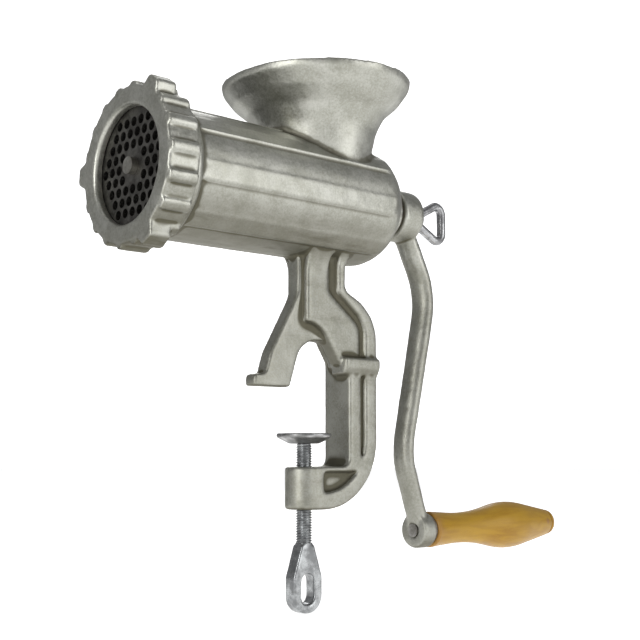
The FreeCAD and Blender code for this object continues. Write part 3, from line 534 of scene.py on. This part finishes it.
def wooden_grip():
    """Hand-turned grip: the CAD profile as a fine lathe form with slight facets from sanding."""
    low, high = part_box("grip")
    middle = (low + high) / 2
    points = read_points(NODES["grip"].data)
    reach = np.hypot(points[:, 1] - middle.y, points[:, 2] - middle.z)
    stations = np.linspace(low.x, high.x, 150)
    slices = np.unique(np.round(points[:, 0], 5))
    outer = np.array([reach[np.abs(points[:, 0] - station) < 6e-6].max(initial=0.0) for station in slices])
    keep = outer > 5 * MM
    radius = np.interp(stations, slices[keep], outer[keep])
    bore = 3.9 * MM
    counterbore = 5.0 * MM
    end_blend = 6 * MM
    segments = 96
    rings = []
    for station, reach_here in zip(stations, radius):
        ring = []
        for index in range(segments):
            angle = 2 * math.pi * index / segments
            wobble = noise.noise(Vector((station * 60, math.cos(angle) * 1.2, math.sin(angle) * 1.2)))
            turn_mark = noise.noise(Vector((station * 900, 3.1, 0)))
            inside = min(1.0, (station - low.x) / end_blend, (high.x - station) / end_blend)
            r = reach_here - (0.10 - 0.10 * wobble) * MM * inside + 0.02 * MM * turn_mark * inside
            ring.append((station, middle.y + r * math.cos(angle), middle.z + r * math.sin(angle)))
        rings.append(ring)

    def inner(station, reach_here):
        return [(station, middle.y + reach_here * math.cos(2 * math.pi * i / segments),
                 middle.z + reach_here * math.sin(2 * math.pi * i / segments)) for i in range(segments)]

    rings = [inner(low.x, bore)] + rings + [
        inner(high.x, counterbore),
        inner(high.x - COUNTERBORE_DEPTH, counterbore),
        inner(high.x - COUNTERBORE_DEPTH, bore),
    ]
    rings.append(inner(low.x, bore))
    piece = tube_mesh("wooden_grip", rings, caps=False)
    build = bmesh.new()
    build.from_mesh(piece.data)
    bmesh.ops.remove_doubles(build, verts=build.verts, dist=2e-6)
    bmesh.ops.recalc_face_normals(build, faces=build.faces)
    build.to_mesh(piece.data)
    build.free()
    piece.data.shade_smooth()
    co = read_points(piece.data)
    along = (co[:, 0] - low.x) / (high.x - low.x)
    ends = np.clip(1 - along / 0.05, 0, 1) + np.clip((along - 0.93) / 0.07, 0, 1)
    attribute = piece.data.attributes.new("ends", "FLOAT", "POINT")
    attribute.data.foreach_set("value", ends.astype(np.float32))
    return piece


put(wooden_grip(), "handle", "varnished_wood", varnished_wood("varnished wood"), "grip")

dress(NODES["cutting_plate"], turned_steel("plate steel", (0.17, 0.165, 0.15), (0.06, 0.057, 0.052), 0.36))
dress(NODES["knife"], turned_steel("knife steel", (0.42, 0.41, 0.40), (0.20, 0.19, 0.18), 0.30))
dress(NODES["auger_stud"], turned_steel("stud steel", (0.46, 0.45, 0.41), (0.24, 0.23, 0.20), 0.30))
dress(NODES["plate_key_pin"], turned_steel("pin steel", (0.50, 0.50, 0.49), (0.30, 0.29, 0.27), 0.28))
dress(NODES["grip_rod"], turned_steel("rod steel", (0.45, 0.44, 0.41), (0.17, 0.16, 0.14), 0.30))
dress(NODES["rear_bush"], plain_rough("bronze bush", (0.62, 0.46, 0.24), (0.40, 0.27, 0.12), 0.34, 1.0))
dress(NODES["thrust_washer"], plain_rough("fibre washer", (0.36, 0.14, 0.09), (0.22, 0.08, 0.05), 0.6))
dress(NODES["thumb_washer"], zinc("zinc washer"))
dress(NODES["grip_washer"], zinc("zinc grip washer", (0.40, 0.40, 0.39), (0.18, 0.17, 0.16), 0.34))

# ---------------------------------------------------------------- floor, light and camera


def sheet(name, points, faces, colour, glow=0.0):
    """Stage sheet with a faint paper cloud, lit a little from within."""
    mesh = bpy.data.meshes.new(name)
    mesh.from_pydata([tuple(point) for point in points], [], faces)
    mesh.update()
    piece = link(name, mesh)
    kit = Nodes(name)
    cloud = kit.noise(2.0, 3, 0.5)
    paper = kit.mix(cloud, colour, tuple(min(1.0, part * 1.02) for part in colour))
    white = (1.0, 1.0, 1.0)
    dress(piece, kit.finish(Base_Color=paper, Roughness=0.9, Emission_Color=white, Emission_Strength=glow))
    return piece


def pale_floor():
    """Pale floor, a round white wall far behind, and a dark card that only the metal's reflections see."""
    floor_height = LOW.z - 0.4 * MM
    reach = 5.0
    wall_height = 6.0
    sides = 64
    rim = [(reach * math.cos(2 * math.pi * i / sides), reach * math.sin(2 * math.pi * i / sides))
           for i in range(sides)]
    sheet("floor", [(x, y, floor_height) for x, y in rim], [tuple(range(sides))], (0.86, 0.86, 0.855), 0.74)
    wall_points = [(x, y, floor_height + z) for z in (-0.1, wall_height) for x, y in rim]
    wall_faces = [(i, (i + 1) % sides, sides + (i + 1) % sides, sides + i) for i in range(sides)]
    wall = sheet("wall", wall_points, wall_faces, (0.9, 0.9, 0.9), 0.95)
    wall.visible_glossy = False
    wall.visible_diffuse = False
    card_height = floor_height + 2 * MM
    card = sheet("dark_card", [(-0.75, 0.22, card_height), (0.02, 0.22, card_height),
                               (0.02, 1.3, card_height), (-0.75, 1.3, card_height)], [(0, 1, 2, 3)],
                 (0.03, 0.03, 0.028))
    card.visible_camera = False
    card.visible_diffuse = False
    card.visible_shadow = False


def area_light(name, place, target, width, height, power, tint=(1, 1, 1)):
    data = bpy.data.lights.new(name, "AREA")
    data.shape = "RECTANGLE"
    data.size = width
    data.size_y = height
    data.energy = power
    data.color = tint
    light = bpy.data.objects.new(name, data)
    bpy.context.scene.collection.objects.link(light)
    light.location = place
    light.rotation_euler = (Vector(target) - Vector(place)).to_track_quat("-Z", "Y").to_euler()
    return light


def studio():
    world = bpy.data.worlds.new("studio")
    world.use_nodes = True
    background = world.node_tree.nodes["Background"]
    background.inputs["Color"].default_value = (0.98, 0.985, 1.0, 1.0)
    background.inputs["Strength"].default_value = 0.30
    bpy.context.scene.world = world
    target = (0.03, 0, 0.05)
    area_light("key", (0.70, -1.5, 0.40), target, 1.1, 1.0, 7.5)
    area_light("front", (-1.4, -0.45, 0.30), target, 0.6, 0.9, 9)
    area_light("top", (0.1, 0.1, 1.6), target, 0.8, 0.8, 3)
    area_light("far", (0.9, 1.1, 0.9), target, 0.7, 0.7, 5)


def camera():
    data = bpy.data.cameras.new("camera")
    data.lens = 63.0
    data.sensor_width = 36.0
    data.sensor_fit = "HORIZONTAL"
    eye_point = bpy.data.objects.new("camera", data)
    bpy.context.scene.collection.objects.link(eye_point)
    eye_point.location = (-0.33796, -0.42833, -0.0313)
    heading = Vector((0.65097, 0.75012, 0.11640))
    eye_point.rotation_euler = heading.to_track_quat("-Z", "Y").to_euler()
    data.clip_start = 0.01
    data.clip_end = 50.0
    bpy.context.scene.camera = eye_point


pale_floor()
studio()
camera()
bpy.context.scene.view_settings.view_transform = "Standard"
